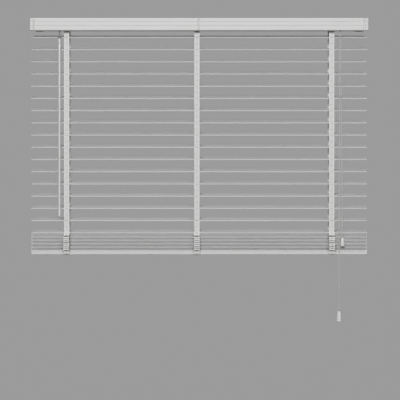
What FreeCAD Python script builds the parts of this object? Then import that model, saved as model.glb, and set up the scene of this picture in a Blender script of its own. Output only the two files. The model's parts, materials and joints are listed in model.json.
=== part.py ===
import FreeCAD, Part
import math
import os
import re
import Sketcher

# Venetian blind with 50 mm slats, ladder tapes, a wand tilter and a cord lock, partly raised.
# Frame: +X to the right, -Y towards the room, +Z up. The origin is the centre of the four
# ceiling screw holes, on the brackets' top face. Lengths are millimetres and angles degrees.
# Every "drop" is a distance below the origin.

SIZES = {
    # slats
    "slat_length": 1208,
    "slat_depth": 50,
    "slat_thickness": 3,
    "slat_edge_radius": 1.4,
    "slat_tilt": 13,
    "slat_pitch": 44,
    "first_slat_drop": 64.8,
    "hanging_slats": 16,
    "route_slot_width": 6,
    "route_slot_length": 18,
    # slats gathered on the bottom rail
    "stacked_slats": 11,
    "stack_pitch": 5.07,
    "stack_top_drop": 779.6,
    "fold_width": 21.6,
    "fold_reach": 21.6,
    "fold_top_drop": 778,
    "fold_bottom_drop": 842,
    "fold_rounding": 5,
    # bottom rail
    "bottom_rail_length": 1205,
    "bottom_rail_depth": 50,
    "bottom_rail_height": 16.6,
    "bottom_rail_drop": 835.4,
    "bottom_rail_rounding": 3,
    "bottom_cap_thickness": 1.5,
    "bead_drop": 5.4,
    "bead_depth": 1.6,
    "plug_radius": 9,
    "plug_boss_radius": 7.4,
    "plug_thickness": 2.4,
    # ladder tapes
    "tape_left": -477,
    "tape_centre": -8,
    "tape_right": 477,
    "tape_width": 19,
    "tape_thickness": 0.6,
    "tape_gap": 0.3,
    "tape_turn_drop": 46,
    "rung_width": 6,
    "rung_offset": 6,
    "rung_length": 47.4,
    "rung_thickness": 0.5,
    # headrail
    "headrail_length": 1184,
    "headrail_depth": 56,
    "headrail_height": 39,
    "headrail_drop": 2,
    "headrail_wall": 0.8,
    "headrail_lip": 6,
    "ladder_opening_length": 23,
    "ladder_opening_depth": 52,
    "end_cap_thickness": 1.2,
    # brackets
    "bracket_length": 28,
    "bracket_outer": 595.1,
    "bracket_sheet": 1.5,
    "bracket_inner_depth": 57,
    "bracket_height": 42.8,
    "bracket_lip": 6.5,
    "screw_spacing_x": 1162,
    "screw_spacing_y": 24,
    "screw_hole_radius": 2.25,
    # valance
    "valance_length": 1212,
    "valance_height": 45,
    "valance_thickness": 12,
    "valance_front": 45,
    "valance_drop": 2,
    "valance_rounding": 2.5,
    "groove_depth": 1,
    "groove_height": 2.4,
    "upper_groove_drop": 14.9,
    "lower_groove_drop": 29.6,
    "clip_width": 9.5,
    "clip_sheet": 0.6,
    "clip_slack": 0.15,
    "clip_end_offset": 593.5,
    "clip_centre_offset": -2.8,
    # tilt shaft
    "shaft_drop": 20,
    "rod_side": 6,
    "rod_left": -511,
    "rod_right": 493,
    "bore_side": 6.1,
    "drum_radius": 10,
    "drum_length": 20,
    "flange_radius": 12,
    "flange_thickness": 1.5,
    "hub_radius": 5,
    "hub_length": 30.4,
    "cradle_length": 30,
    "cradle_depth": 52,
    "cradle_sheet": 1.5,
    "cradle_wall_offset": 13.5,
    "cradle_wall_depth": 32,
    "cradle_top_drop": 10,
    "hub_clearance": 0.1,
    "roller_radius": 3,
    # tilter
    "tilter_x": -502,
    "tilter_length": 18,
    "tilter_wall": 1.2,
    "worm_lean": 25,
    "worm_distance": 12.5,
    "worm_pitch_radius": 3.4,
    "worm_root_radius": 2.2,
    "worm_crest_radius": 4.3,
    "worm_turns": 4,
    "snout_radius": 4.5,
    "stem_radius": 2.5,
    "stem_reach": 56.6,
    "ball_radius": 3,
    "gear_teeth": 16,
    "gear_root_radius": 7.9,
    "gear_tip_radius": 10,
    "gear_width": 3,
    "gear_hub_length": 18.4,
    # cord lock
    "lock_left": 494,
    "lock_right": 522,
    "lock_wall": 1.5,
    "lock_top_drop": 14,
    "lock_front": 26.8,
    "lock_back": 8,
    "nose_left": 496,
    "nose_right": 516,
    "nose_front": 32,
    "nose_back": 20,
    "nose_top_drop": 37,
    "nose_drop": 44.2,
    "pawl_x": 510,
    "pawl_drop": 22,
    "pawl_tip_drop": 34.3,
    "pawl_hub_radius": 3.5,
    "pawl_pin_radius": 1.5,
    # cords
    "lift_cord_radius": 0.7,
    "lift_cord_spacing": 4,
    "lift_cord_run_drop": 35.5,
    "pull_cord_diameter": 1.6,
    # wand and tassels
    "wand_length": 640,
    "wand_radius": 3.75,
    "wand_gap": 8,
    "hook_wire_radius": 0.8,
    "hook_drop": 7,
    "short_tassel_height": 30,
    "short_tassel_top_radius": 5.6,
    "short_tassel_radius": 8,
    "long_tassel_height": 37,
    "long_tassel_top_radius": 7,
    "long_tassel_radius": 10,
}

TAPES = ("tape_left", "tape_centre", "tape_right")
X_AXIS = FreeCAD.Vector(1, 0, 0)
Y_AXIS = FreeCAD.Vector(0, 1, 0)
Z_AXIS = FreeCAD.Vector(0, 0, 1)

doc = FreeCAD.newDocument("venetian_blind")
sheet = doc.addObject("Spreadsheet::Sheet", "Sizes")
for row, (alias, number) in enumerate(SIZES.items(), 1):
    sheet.set(f"A{row}", alias)
    sheet.set(f"B{row}", str(number))
    sheet.setAlias(f"B{row}", alias)
doc.recompute()

nodes = {}


# ---------------------------------------------------------------- helpers

def bound(text):
    """An expression on the sheet, from one that names its cells alone."""
    def full(word):
        return "Sizes." + word[0] if word[0] in SIZES else word[0]
    return re.sub(r"[a-z_]+", full, str(text))


def number(text):
    """What an expression on the sheet comes to."""
    return float(sheet.evalExpression(bound(text)))


def point(x, y, z):
    return FreeCAD.Vector(number(x), number(y), number(z))


def node(label, piece):
    """Name a finished sub-part; its file takes the same name."""
    piece.Label = label
    nodes[label] = piece
    return piece


def box(name, x, y, z):
    """A box between two planes across each axis."""
    piece = doc.addObject("Part::Box", name)
    for size, corner, (low, high) in zip(("Length", "Width", "Height"), "xyz", (x, y, z)):
        piece.setExpression(size, bound(f"({high}) - ({low})"))
        piece.setExpression(f"Placement.Base.{corner}", bound(low))
    return piece


def rod(name, radius, length, start, direction=X_AXIS):
    """A cylinder from a starting point along a direction."""
    piece = doc.addObject("Part::Cylinder", name)
    piece.Placement.Rotation = FreeCAD.Rotation(Z_AXIS, direction)
    piece.setExpression("Radius", bound(radius))
    piece.setExpression("Height", bound(length))
    for corner, value in zip("xyz", start):
        piece.setExpression(f"Placement.Base.{corner}", bound(value))
    return piece


def ball(name, radius, centre):
    piece = doc.addObject("Part::Sphere", name)
    piece.setExpression("Radius", bound(radius))
    for corner, value in zip("xyz", centre):
        piece.setExpression(f"Placement.Base.{corner}", bound(value))
    return piece


def fuse(name, pieces):
    piece = doc.addObject("Part::MultiFuse", name)
    piece.Shapes = pieces
    return piece


def group(name, pieces):
    """Separate solids kept together as one sub-part."""
    piece = doc.addObject("Part::Compound", name)
    piece.Links = pieces
    return piece


def cut(name, base, tools):
    piece = doc.addObject("Part::Cut", name)
    piece.Base = base
    piece.Tool = tools[0] if len(tools) == 1 else fuse(name + "_tools", tools)
    return piece


def soften(name, base, radius, wanted):
    """Round the edges of a piece that wanted(edge) picks."""
    doc.recompute()
    piece = doc.addObject("Part::Fillet", name)
    piece.Base = base
    size = number(radius)
    piece.Edges = [(i, size, size) for i, edge in enumerate(base.Shape.Edges, 1) if wanted(edge)]
    return piece


def along(axis):
    """Picks the straight edges that run along an axis."""
    def wanted(edge):
        if not isinstance(edge.Curve, Part.Line):
            return False
        return abs(abs(edge.tangentAt(edge.FirstParameter).dot(axis)) - 1) < 1e-6
    return wanted


def origin_plane(body, role):
    return next(feature for feature in body.Origin.OriginFeatures if feature.Role == role)


def outline(body, name, plane, corners):
    """A closed sketch with each corner held at two expressions from the body's origin."""
    sketch = body.newObject("Sketcher::SketchObject", name)
    sketch.AttachmentSupport = [(origin_plane(body, plane), "")]
    sketch.MapMode = "FlatFace"
    places = [FreeCAD.Vector(number(a), number(b), 0) for a, b in corners]
    for i, place in enumerate(places):
        sketch.addGeometry(Part.LineSegment(place, places[(i + 1) % len(places)]))
    for i, (place, (a, b)) in enumerate(zip(places, corners)):
        sketch.addConstraint(Sketcher.Constraint("Coincident", i, 2, (i + 1) % len(places), 1))
        for kind, start, expression in (("DistanceX", place.x, a), ("DistanceY", place.y, b)):
            held = sketch.addConstraint(Sketcher.Constraint(kind, -1, 1, i, 1, start))
            sketch.setExpression(f"Constraints[{held}]", bound(expression))
    return sketch


def extrusion(name, corners, length, middle="0"):
    """A body with a constant section in Y and Z, as long as length in X about its middle."""
    body = doc.addObject("PartDesign::Body", name)
    pad = body.newObject("PartDesign::Pad", name + "_pad")
    pad.Profile = outline(body, name + "_section", "YZ_Plane", corners)
    pad.SideType = "Symmetric"
    pad.setExpression("Length", bound(length))
    body.setExpression("Placement.Base.x", bound(middle))
    return body


def turned(name, corners, base):
    """A body turned about its own Z axis from a half outline of radius and height."""
    body = doc.addObject("PartDesign::Body", name)
    sketch = outline(body, name + "_half", "XZ_Plane", corners)
    turning = body.newObject("PartDesign::Revolution", name + "_turning")
    turning.Profile = sketch
    turning.ReferenceAxis = (sketch, ["V_Axis"])
    turning.Angle = 360
    for corner, value in zip("xyz", base):
        body.setExpression(f"Placement.Base.{corner}", bound(value))
    return body


def mirrored_span(side, low, high):
    """A span in X on the right (side 1), or its mirror image on the left (side -1)."""
    return (low, high) if side > 0 else (f"-({high})", f"-({low})")


def about(middle, size):
    return (f"{middle} - ({size}) / 2", f"{middle} + ({size}) / 2")


def pipe(label, wire, radius):
    """A round tube along a wire that starts where its section is set square to it."""
    first = wire.OrderedEdges[0]
    heading = first.tangentAt(first.FirstParameter)
    section = Part.Wire(Part.Circle(first.valueAt(first.FirstParameter), heading, radius).toShape())
    solid = wire.makePipeShell([section], True, False)
    length = wire.Length
    share = solid.Volume / (math.pi * radius ** 2 * length)
    print(f"{label}: {length:.1f} mm long, volume over section times length {share:.4f}")
    return solid


# ---------------------------------------------------------------- headrail and its fixings

def worm_axis():
    """Where the worm's axis passes the gear, and its direction down towards the wand."""
    lean = math.radians(number("worm_lean"))
    down = FreeCAD.Vector(0, -math.sin(lean), -math.cos(lean))
    outward = FreeCAD.Vector(0, -math.cos(lean), math.sin(lean))
    gear_centre = point("tilter_x", 0, "-shaft_drop")
    return gear_centre + outward * number("worm_distance"), down


def axis_rod(name, radius, start, end):
    """A cylinder on the worm's axis, between two distances from the point beside the gear."""
    foot, down = worm_axis()
    return rod(name, radius, f"{end} - ({start})", foot + down * number(start), down)


def make_headrail():
    half, wall, lip = "headrail_depth / 2", "headrail_wall", "headrail_lip"
    top, bottom = "-headrail_drop", "-headrail_drop - headrail_height"
    corners = [
        (f"-{half}", bottom),
        (half, bottom),
        (half, top),
        (f"{half} - {lip}", top),
        (f"{half} - {lip}", f"{top} - {wall}"),
        (f"{half} - {wall}", f"{top} - {wall}"),
        (f"{half} - {wall}", f"{bottom} + {wall}"),
        (f"-{half} + {wall}", f"{bottom} + {wall}"),
        (f"-{half} + {wall}", f"{top} - {wall}"),
        (f"-{half} + {lip}", f"{top} - {wall}"),
        (f"-{half} + {lip}", top),
        (f"-{half}", top),
    ]
    channel = extrusion("channel", corners, "headrail_length")
    floor = (f"{bottom} - 1", f"{bottom} + 2")
    deep = about("0", "ladder_opening_depth")
    openings = [
        box("ladder_opening", about(tape, "ladder_opening_length"), deep, floor)
        for tape in TAPES
    ]
    # the tilter's snout and the cord lock's nose come out through the lower front corner
    openings.append(axis_rod("snout_opening", "snout_radius + 0.5", 12, 40))
    openings.append(
        box(
            "nose_opening",
            ("nose_left - 0.3", "nose_right + 0.3"),
            (f"-{half} - 1", "-nose_back + 0.3"),
            (f"{bottom} - 1", "-nose_top_drop + 0.3"),
        )
    )
    node("headrail", cut("headrail", channel, openings))


def make_headrail_end_caps():
    """A plate over each end, with tabs that push inside the channel."""
    end, inner = "headrail_length / 2", "headrail_wall + 0.2"
    top, bottom = "-headrail_drop", "-headrail_drop - headrail_height"
    caps = []
    for side in (-1, 1):
        plate_x = mirrored_span(side, end, f"{end} + end_cap_thickness")
        plate = box("cap_plate", plate_x, about("0", "headrail_depth"), (bottom, top))
        ring = box(
            "cap_ring",
            mirrored_span(side, f"{end} - 8", end),
            about("0", f"headrail_depth - 2 * ({inner})"),
            (f"{bottom} + {inner}", f"{top} - ({inner})"),
        )
        hollow = box(
            "cap_hollow",
            mirrored_span(side, f"{end} - 9", end),
            about("0", f"headrail_depth - 2 * ({inner}) - 3"),
            (f"{bottom} + {inner} + 1.5", 0),
        )
        caps.append(fuse("end_cap", [plate, cut("cap_tabs", ring, [hollow])]))
    node("headrail_end_caps", group("headrail_end_caps", caps))


def make_mounting_brackets():
    half = "bracket_inner_depth / 2"
    brackets = []
    doors = []
    for side in (-1, 1):
        whole = mirrored_span(side, "bracket_outer - bracket_length", "bracket_outer")
        door_end = "bracket_outer - bracket_sheet - 0.2"
        inside = mirrored_span(side, "bracket_outer - bracket_length", door_end)
        outer_y = (f"-{half} - bracket_sheet", f"{half} + bracket_sheet")
        roof = box("bracket_roof", whole, outer_y, ("-bracket_sheet", 0))
        back = box("bracket_back", whole, (half, f"{half} + bracket_sheet"), ("-bracket_height", 0))
        end_x = mirrored_span(side, "bracket_outer - bracket_sheet", "bracket_outer")
        sill_z = ("-bracket_height", "-bracket_height + bracket_sheet")
        end = box("bracket_end", end_x, outer_y, (sill_z[1], 0))
        sill = box("bracket_sill", whole, (f"{half} - bracket_lip", half), sill_z)
        holes = [
            rod(
                "screw_hole",
                "screw_hole_radius",
                "bracket_sheet + 2",
                (f"{side} * screw_spacing_x / 2", f"{row} * screw_spacing_y / 2", "-bracket_sheet - 1"),
                Z_AXIS,
            )
            for row in (-1, 1)
        ]
        brackets.append(cut("bracket", fuse("bracket_shell", [roof, back, end, sill]), holes))
        # the door closes the bracket's front and turns in under the headrail
        face_z = ("-bracket_height", "-bracket_sheet - 0.2")
        face = box("door_face", inside, (f"-{half} - bracket_sheet", f"-{half}"), face_z)
        fold_y = (f"-{half} - bracket_sheet", f"-{half} + bracket_lip")
        fold = box("door_fold", inside, fold_y, sill_z)
        doors.append(fuse("door", [face, fold]))
    node("mounting_brackets", group("mounting_brackets", brackets))
    node("bracket_doors", group("bracket_doors", doors))


def make_valance():
    front, back = "-valance_front", "-valance_front + valance_thickness"
    top, bottom = "-valance_drop", "-valance_drop - valance_height"
    corners = [(back, bottom), (back, top), (front, top)]
    for groove in ("upper_groove_drop", "lower_groove_drop"):
        corners += [
            (front, f"-{groove} + groove_height / 2"),
            (f"{front} + groove_depth", f"-{groove}"),
            (front, f"-{groove} - groove_height / 2"),
        ]
    corners.append((front, bottom))
    board = extrusion("board", corners, "valance_length")

    def front_corner(edge):
        ends = [vertex.Point for vertex in edge.Vertexes]
        outside = all(abs(end.y - number(front)) < 0.01 for end in ends)
        level = [number(top), number(bottom)]
        return outside and along(X_AXIS)(edge) and any(abs(ends[0].z - z) < 0.01 for z in level)

    node("valance", soften("valance", board, "valance_rounding", front_corner))


def make_valance_clips():
    front, back = "-valance_front", "-valance_front + valance_thickness"
    top, bottom = "-valance_drop", "-valance_drop - valance_height"
    clips = []
    rests = (("-clip_end_offset", "-bracket_inner_depth / 2 - bracket_sheet"),
             ("clip_centre_offset", "-headrail_depth / 2"),
             ("clip_end_offset", "-bracket_inner_depth / 2 - bracket_sheet"))
    for middle, rest in rests:
        across = about(middle, "clip_width")
        whole_z = (f"{bottom} - clip_sheet", f"{top} + clip_sheet")
        whole_y = (f"{front} - clip_slack - clip_sheet", f"{back} + clip_sheet")
        outer = soften(
            "clip_outer",
            box("clip_block", across, whole_y, whole_z),
            "valance_rounding + clip_sheet",
            lambda edge: along(X_AXIS)(edge) and edge.Vertexes[0].Y < -40,
        )
        inner = soften(
            "clip_inner",
            box(
                "clip_hollow",
                about(middle, "clip_width + 2"),
                (f"{front} - clip_slack", back),
                (bottom, top),
            ),
            "valance_rounding",
            lambda edge: along(X_AXIS)(edge) and edge.Vertexes[0].Y < -40,
        )
        # the arm that holds the clip stands between the valance and what is behind it
        arm = box("clip_arm", about(middle, 7), (f"{back} + clip_sheet / 2", rest), (-27, -17))
        clips.append(fuse("clip", [cut("clip_band", outer, [inner]), arm]))
    node("valance_clips", group("valance_clips", clips))


# ---------------------------------------------------------------- tilt shaft

def square_bore(middle, length):
    across, high = about("0", "bore_side"), about("-shaft_drop", "bore_side")
    return box("square_bore", about(middle, length), across, high)


def shaft_disc(name, radius, middle, length):
    return rod(name, radius, length, (f"{middle} - ({length}) / 2", 0, "-shaft_drop"))


def make_tilt_rod():
    across, high = about("0", "rod_side"), about("-shaft_drop", "rod_side")
    node("tilt_rod", box("tilt_rod", ("rod_left", "rod_right"), across, high))


def make_tilt_drums():
    drums = []
    for tape in TAPES:
        parts = [
            shaft_disc("drum_barrel", "drum_radius", tape, "drum_length"),
            shaft_disc("drum_hub", "hub_radius", tape, "hub_length"),
        ]
        for side in (-1, 1):
            middle = f"{tape} + {side} * (drum_length + flange_thickness) / 2"
            parts.append(shaft_disc("drum_flange", "flange_radius", middle, "flange_thickness"))
        drums.append(cut("drum", fuse("drum_blank", parts), [square_bore(tape, "hub_length + 2")]))
    node("tilt_drums", group("tilt_drums", drums))


def make_drum_cradles():
    floor = "-headrail_drop - headrail_height + headrail_wall"
    cradles = []
    for tape in TAPES:
        base_z = (floor, f"{floor} + cradle_sheet")
        base = box("cradle_base", about(tape, "cradle_length"), about("0", "cradle_depth"), base_z)
        walls = [
            box(
                "cradle_wall",
                about(f"{tape} + {side} * (cradle_wall_offset + cradle_sheet / 2)", "cradle_sheet"),
                about("0", "cradle_wall_depth"),
                (floor, "-cradle_top_drop"),
            )
            for side in (-1, 1)
        ]
        # slots for the two tapes, a hole for the lift cord and a low window for the cords' run
        through = (f"{floor} - 1", f"{floor} + 3")
        openings = [
            box("tape_slot", about(tape, "tape_width + 1"), span, through)
            for span in ((-25.2, -12), (12, 25.2))
        ]
        openings.append(box("cord_hole", about(tape, 6), about("0", 15), through))
        window_z = (f"{floor} + cradle_sheet", "-lift_cord_run_drop + 2.5")
        openings.append(box("cord_window", about(tape, "cradle_length"), about("0", 16), window_z))
        seat = shaft_disc("hub_seat", "hub_radius + hub_clearance", tape, "cradle_length")
        shell = cut("cradle_shell", fuse("cradle_blank", [base] + walls), openings + [seat])
        # the lift cord turns over a round bar beside its hole
        beside = "roller_radius + lift_cord_radius"
        bar_start = (f"{tape} + {beside}", -8, f"-lift_cord_run_drop - ({beside})")
        bar = rod("cord_bar", "roller_radius", 16, bar_start, Y_AXIS)
        cradles.append(fuse("cradle", [shell, bar]))
    node("drum_cradles", group("drum_cradles", cradles))


# ---------------------------------------------------------------- tilter

def make_tilter_housing():
    floor = "-headrail_drop - headrail_height + headrail_wall"
    block = box("tilter_block", about("tilter_x", "tilter_length"), (-26.5, 14), (floor, -6))
    inside = about("tilter_x", "tilter_length - 2 * tilter_wall")
    inside_y = ("-26.5 + tilter_wall", "14 - tilter_wall")
    hollow = box("tilter_hollow", inside, inside_y, (f"{floor} + tilter_wall", -5))
    shell = cut("tilter_shell", block, [hollow])
    snout = axis_rod("tilter_snout", "snout_radius", 17, 31)
    bores = [
        axis_rod("stem_bore", "stem_radius + 0.1", 15, 33),
        shaft_disc("gear_bore", "hub_radius + hub_clearance", "tilter_x", 24),
    ]
    node("tilter_housing", cut("tilter_housing", fuse("tilter_body", [shell, snout]), bores))


def make_tilter_worm():
    """A single-start worm with a plain stem and a ball that the wand's clip snaps over."""
    pitch = 2 * math.pi * number("worm_distance - worm_pitch_radius") / number("gear_teeth")
    turns = number("worm_turns")
    low = (0.25 - turns / 2) * pitch
    crest, root = number("worm_crest_radius"), number("worm_root_radius")
    helix = Part.makeHelix(pitch, turns * pitch, root)
    helix.translate(FreeCAD.Vector(0, 0, low))
    corners = [
        FreeCAD.Vector(root - 0.3, 0, low - 0.85),
        FreeCAD.Vector(crest, 0, low - 0.35),
        FreeCAD.Vector(crest, 0, low + 0.35),
        FreeCAD.Vector(root - 0.3, 0, low + 0.85),
    ]
    section = Part.makePolygon(corners + corners[:1])
    thread = Part.Wire(helix.Edges).makePipeShell([section], True, True)
    core_top = turns * pitch / 2 + 2.5
    core = Part.makeCylinder(root, 2 * core_top, FreeCAD.Vector(0, 0, -core_top))
    reach = number("stem_reach")
    stem_top = -core_top + 0.5
    stem_length = reach + stem_top
    stem = Part.makeCylinder(number("stem_radius"), stem_length - 5, FreeCAD.Vector(0, 0, -reach + 5))
    neck = Part.makeCylinder(1.5, 6, FreeCAD.Vector(0, 0, -reach))
    knob = Part.makeSphere(number("ball_radius"), FreeCAD.Vector(0, 0, -reach))
    foot, down = worm_axis()
    worm = doc.addObject("Part::Feature", "tilter_worm")
    worm.Shape = core.multiFuse([thread, stem, neck, knob])
    worm.Placement = FreeCAD.Placement(foot, FreeCAD.Rotation(X_AXIS, -number("worm_lean")))
    print(f"worm pitch {pitch:.3f} mm")
    node("tilter_worm", worm)


def make_tilter_gear():
    """A spur gear whose first tooth points at the worm."""
    teeth = int(number("gear_teeth"))
    root, tip = number("gear_root_radius"), number("gear_tip_radius")
    lean = math.radians(number("worm_lean"))
    facing = math.atan2(math.sin(lean), -math.cos(lean))
    root_half, tip_half = 0.95, 0.4
    rim = []
    for tooth in range(teeth):
        middle = facing + 2 * math.pi * tooth / teeth
        for radius, half in ((root, -root_half), (tip, -tip_half), (tip, tip_half), (root, root_half)):
            turn = middle + half / radius
            rim.append(FreeCAD.Vector(0, radius * math.cos(turn), radius * math.sin(turn)))
    width = number("gear_width")
    wheel = Part.Face(Part.makePolygon(rim + rim[:1])).extrude(X_AXIS * width)
    wheel.translate(FreeCAD.Vector(-width / 2, 0, 0))
    hub_length = number("gear_hub_length")
    hub_start = FreeCAD.Vector(-hub_length / 2, 0, 0)
    hub = Part.makeCylinder(number("hub_radius"), hub_length, hub_start, X_AXIS)
    side = number("bore_side")
    corner = FreeCAD.Vector(-hub_length / 2 - 1, -side / 2, -side / 2)
    bore = Part.makeBox(hub_length + 2, side, side, corner)
    gear = doc.addObject("Part::Feature", "tilter_gear")
    gear.Shape = wheel.fuse(hub).cut(bore)
    gear.Placement.Base = point("tilter_x", 0, "-shaft_drop")
    node("tilter_gear", gear)


def ball_centre():
    foot, down = worm_axis()
    return foot + down * number("stem_reach")


def make_wand_hook():
    """A wire fork whose two pins hold the ball at its sides."""
    centre = ball_centre()
    gap = number("ball_radius") + 0.3
    wire = number("hook_wire_radius")
    arm_x = gap + 2 * wire
    drop = number("hook_drop")
    pieces = []
    for side in (-1, 1):
        pieces.append(rod("hook_pin", wire, arm_x - gap, centre + X_AXIS * side * gap, X_AXIS * side))
        elbow = centre + X_AXIS * side * arm_x
        pieces.append(ball("hook_elbow", wire, elbow))
        pieces.append(rod("hook_arm", wire, drop, elbow, -Z_AXIS))
        pieces.append(ball("hook_corner", wire, elbow - Z_AXIS * drop))
    low = centre - Z_AXIS * drop
    pieces.append(rod("hook_bridge", wire, 2 * arm_x, low - X_AXIS * arm_x, X_AXIS))
    pieces.append(rod("hook_shank", 1.5 * wire, "wand_gap - hook_drop + 0.4", low, -Z_AXIS))
    node("wand_hook", fuse("wand_hook", pieces))


def make_wand():
    foot = ball_centre() - Z_AXIS * (number("wand_gap") + 0.4)
    half = [
        (0, 0),
        (2.4, 0),
        ("wand_radius", -2),
        ("wand_radius + 0.5", -3),
        ("wand_radius + 0.5", -20),
        ("wand_radius", -22),
        ("wand_radius", "-wand_length + 48"),
        ("wand_radius + 0.9", "-wand_length + 12"),
        ("wand_radius + 0.9", "-wand_length + 5"),
        ("wand_radius - 1.2", "-wand_length"),
        (0, "-wand_length"),
    ]
    node("wand", turned("wand", half, (foot.x, foot.y, foot.z)))


# ---------------------------------------------------------------- slats, ladders and bottom rail

def slat(name, drop, tilt):
    """One slat with rounded long edges and a route slot at each tape."""
    half_depth, half_thickness = "slat_depth / 2", "slat_thickness / 2"
    corners = [
        (f"-{half_depth}", f"-{half_thickness}"),
        (half_depth, f"-{half_thickness}"),
        (half_depth, half_thickness),
        (f"-{half_depth}", half_thickness),
    ]
    body = extrusion(name, corners, "slat_length")
    pad = body.Tip
    doc.recompute()
    rounding = body.newObject("PartDesign::Fillet", name + "_rounding")
    long_edges = [f"Edge{i}" for i, edge in enumerate(pad.Shape.Edges, 1) if along(X_AXIS)(edge)]
    rounding.Base = (pad, long_edges)
    rounding.setExpression("Radius", bound("slat_edge_radius"))
    for tape in TAPES:
        low, high = about(tape, "route_slot_width")
        slot_corners = [
            (low, "-route_slot_length / 2"),
            (high, "-route_slot_length / 2"),
            (high, "route_slot_length / 2"),
            (low, "route_slot_length / 2"),
        ]
        route = body.newObject("PartDesign::Pocket", f"{name}_route")
        route.Profile = outline(body, f"{name}_slot", "XY_Plane", slot_corners)
        route.SideType = "Symmetric"
        route.setExpression("Length", bound("slat_thickness + 2"))
    body.setExpression("Placement.Base.z", bound(f"-({drop})"))
    if tilt:
        body.Placement.Rotation = FreeCAD.Rotation(X_AXIS, 1)
        body.setExpression("Placement.Rotation.Angle", bound(tilt))
    return body


def slat_drop(number_from_top):
    return f"first_slat_drop + {number_from_top - 1} * slat_pitch"


def make_hanging_slats():
    for i in range(1, SIZES["hanging_slats"] + 1):
        name = f"slat_{i:02d}"
        node(name, slat(name, slat_drop(i), "slat_tilt"))


def make_stacked_slats():
    """The flat slats on the bottom rail, under the lowest tilted one that rests on them."""
    resting = slat("resting_slat", slat_drop(SIZES["hanging_slats"] + 1), "slat_tilt")
    flat = [
        slat(f"flat_slat_{i}", f"stack_top_drop + slat_thickness / 2 + {i} * stack_pitch", None)
        for i in range(SIZES["stacked_slats"])
    ]
    node("stacked_slats", group("stacked_slats", [resting] + flat))


def make_ladder_rungs():
    """Under each slat, two narrow ribbons per tape, one each side of the lift cord."""
    under = "slat_thickness / 2 + tape_gap"
    for i in range(1, SIZES["hanging_slats"] + 1):
        name = f"ladder_rungs_{i:02d}"
        ribbons = [
            box(
                "rung",
                about(f"{tape} + {side} * rung_offset", "rung_width"),
                about("0", "rung_length"),
                (f"-({under}) - rung_thickness", f"-({under})"),
            )
            for tape in TAPES
            for side in (-1, 1)
        ]
        rungs = group(name, ribbons)
        rungs.setExpression("Placement.Base.z", bound(f"-({slat_drop(i)})"))
        rungs.Placement.Rotation = FreeCAD.Rotation(X_AXIS, 1)
        rungs.setExpression("Placement.Rotation.Angle", bound("slat_tilt"))
        node(name, rungs)


def make_tapes():
    """A straight tape just clear of the slats' edges, turned in to the drum inside the headrail."""
    half_slat = "(slat_depth - slat_thickness) / 2 * cos(slat_tilt * 1deg) + slat_thickness / 2"
    edge_reach = f"{half_slat} + tape_gap"
    outer_reach = f"{edge_reach} + tape_thickness"
    drum_reach = "drum_radius + tape_gap"
    for label, side in (("front_tapes", -1), ("back_tapes", 1)):
        strips = []
        for tape in TAPES:
            corners = [
                (f"{side} * ({edge_reach})", "-fold_top_drop"),
                (f"{side} * ({edge_reach})", "-tape_turn_drop"),
                (f"{side} * ({drum_reach})", "-shaft_drop"),
                (f"{side} * ({drum_reach} + tape_thickness)", "-shaft_drop"),
                (f"{side} * ({outer_reach})", "-tape_turn_drop"),
                (f"{side} * ({outer_reach})", "-fold_top_drop"),
            ]
            strips.append(extrusion("tape_strip", corners, "tape_width", tape))
        node(label, group(label, strips))


def make_stack_tape_folds():
    """The tape gathered in front of and behind the stack, and its ends under the bottom rail."""
    near = "slat_depth / 2 + 0.4"
    far = f"{near} + fold_reach"
    strap_far = f"{near} + tape_thickness"
    rail_bottom = "bottom_rail_drop + bottom_rail_height"
    strap_low = f"-({rail_bottom}) - 0.7"
    folds = []
    for tape in TAPES:
        for side in (-1, 1):
            across = about(tape, "fold_width")
            depth = mirrored_span(side, near, far)
            block = box("fold_block", across, depth, ("-fold_bottom_drop", "-fold_top_drop"))

            def outer_edge(edge, side=side):
                return along(X_AXIS)(edge) and edge.Vertexes[0].Y * side > 40

            bunch = soften("fold_bunch", block, "fold_rounding", outer_edge)
            band = about(tape, "tape_width")
            strap_y = mirrored_span(side, near, strap_far)
            strap = box("rail_strap", band, strap_y, (strap_low, "-fold_bottom_drop"))
            under_y = mirrored_span(side, "plug_radius + 3", near)
            under = box("rail_strap_end", band, under_y, (strap_low, f"{strap_low} + tape_thickness"))
            folds.append(fuse("fold", [bunch, strap, under]))
    node("stack_tape_folds", group("stack_tape_folds", folds))


def make_bottom_rail():
    half = "bottom_rail_depth / 2"
    top, bottom = "-bottom_rail_drop", "-bottom_rail_drop - bottom_rail_height"
    corners = [(f"-{half}", bottom), (half, bottom), (half, top), (f"-{half}", top)]
    # a shallow bead line along the front face
    corners += [
        (f"-{half}", f"{top} - bead_drop + bead_depth"),
        (f"-{half} + bead_depth", f"{top} - bead_drop"),
        (f"-{half}", f"{top} - bead_drop - bead_depth"),
    ]
    plank = extrusion("plank", corners, "bottom_rail_length")

    def corner_edge(edge):
        level = [number(top), number(bottom)]
        return along(X_AXIS)(edge) and any(abs(edge.Vertexes[0].Z - z) < 0.01 for z in level)

    rounded = soften("rounded_plank", plank, "bottom_rail_rounding", corner_edge)
    holes = []
    for place, tape in enumerate(TAPES):
        across = f"{place - 1} * lift_cord_spacing"
        cord_start = (tape, across, f"{bottom} - 1")
        holes.append(rod("cord_hole", 1.6, "bottom_rail_height + 2", cord_start, Z_AXIS))
        recess_start = (tape, 0, f"{bottom} - 1")
        holes.append(rod("plug_recess", "plug_boss_radius + 0.1", 5, recess_start, Z_AXIS))
    node("bottom_rail", cut("bottom_rail", rounded, holes))
    caps = []
    for side in (-1, 1):
        rail_end = "bottom_rail_length / 2"
        cap_x = mirrored_span(side, rail_end, f"{rail_end} + bottom_cap_thickness")
        plate = box("rail_cap_plate", cap_x, about("0", "bottom_rail_depth"), (bottom, top))
        caps.append(soften("rail_cap", plate, "bottom_rail_rounding", along(X_AXIS)))
    node("bottom_rail_end_caps", group("bottom_rail_end_caps", caps))


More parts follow.
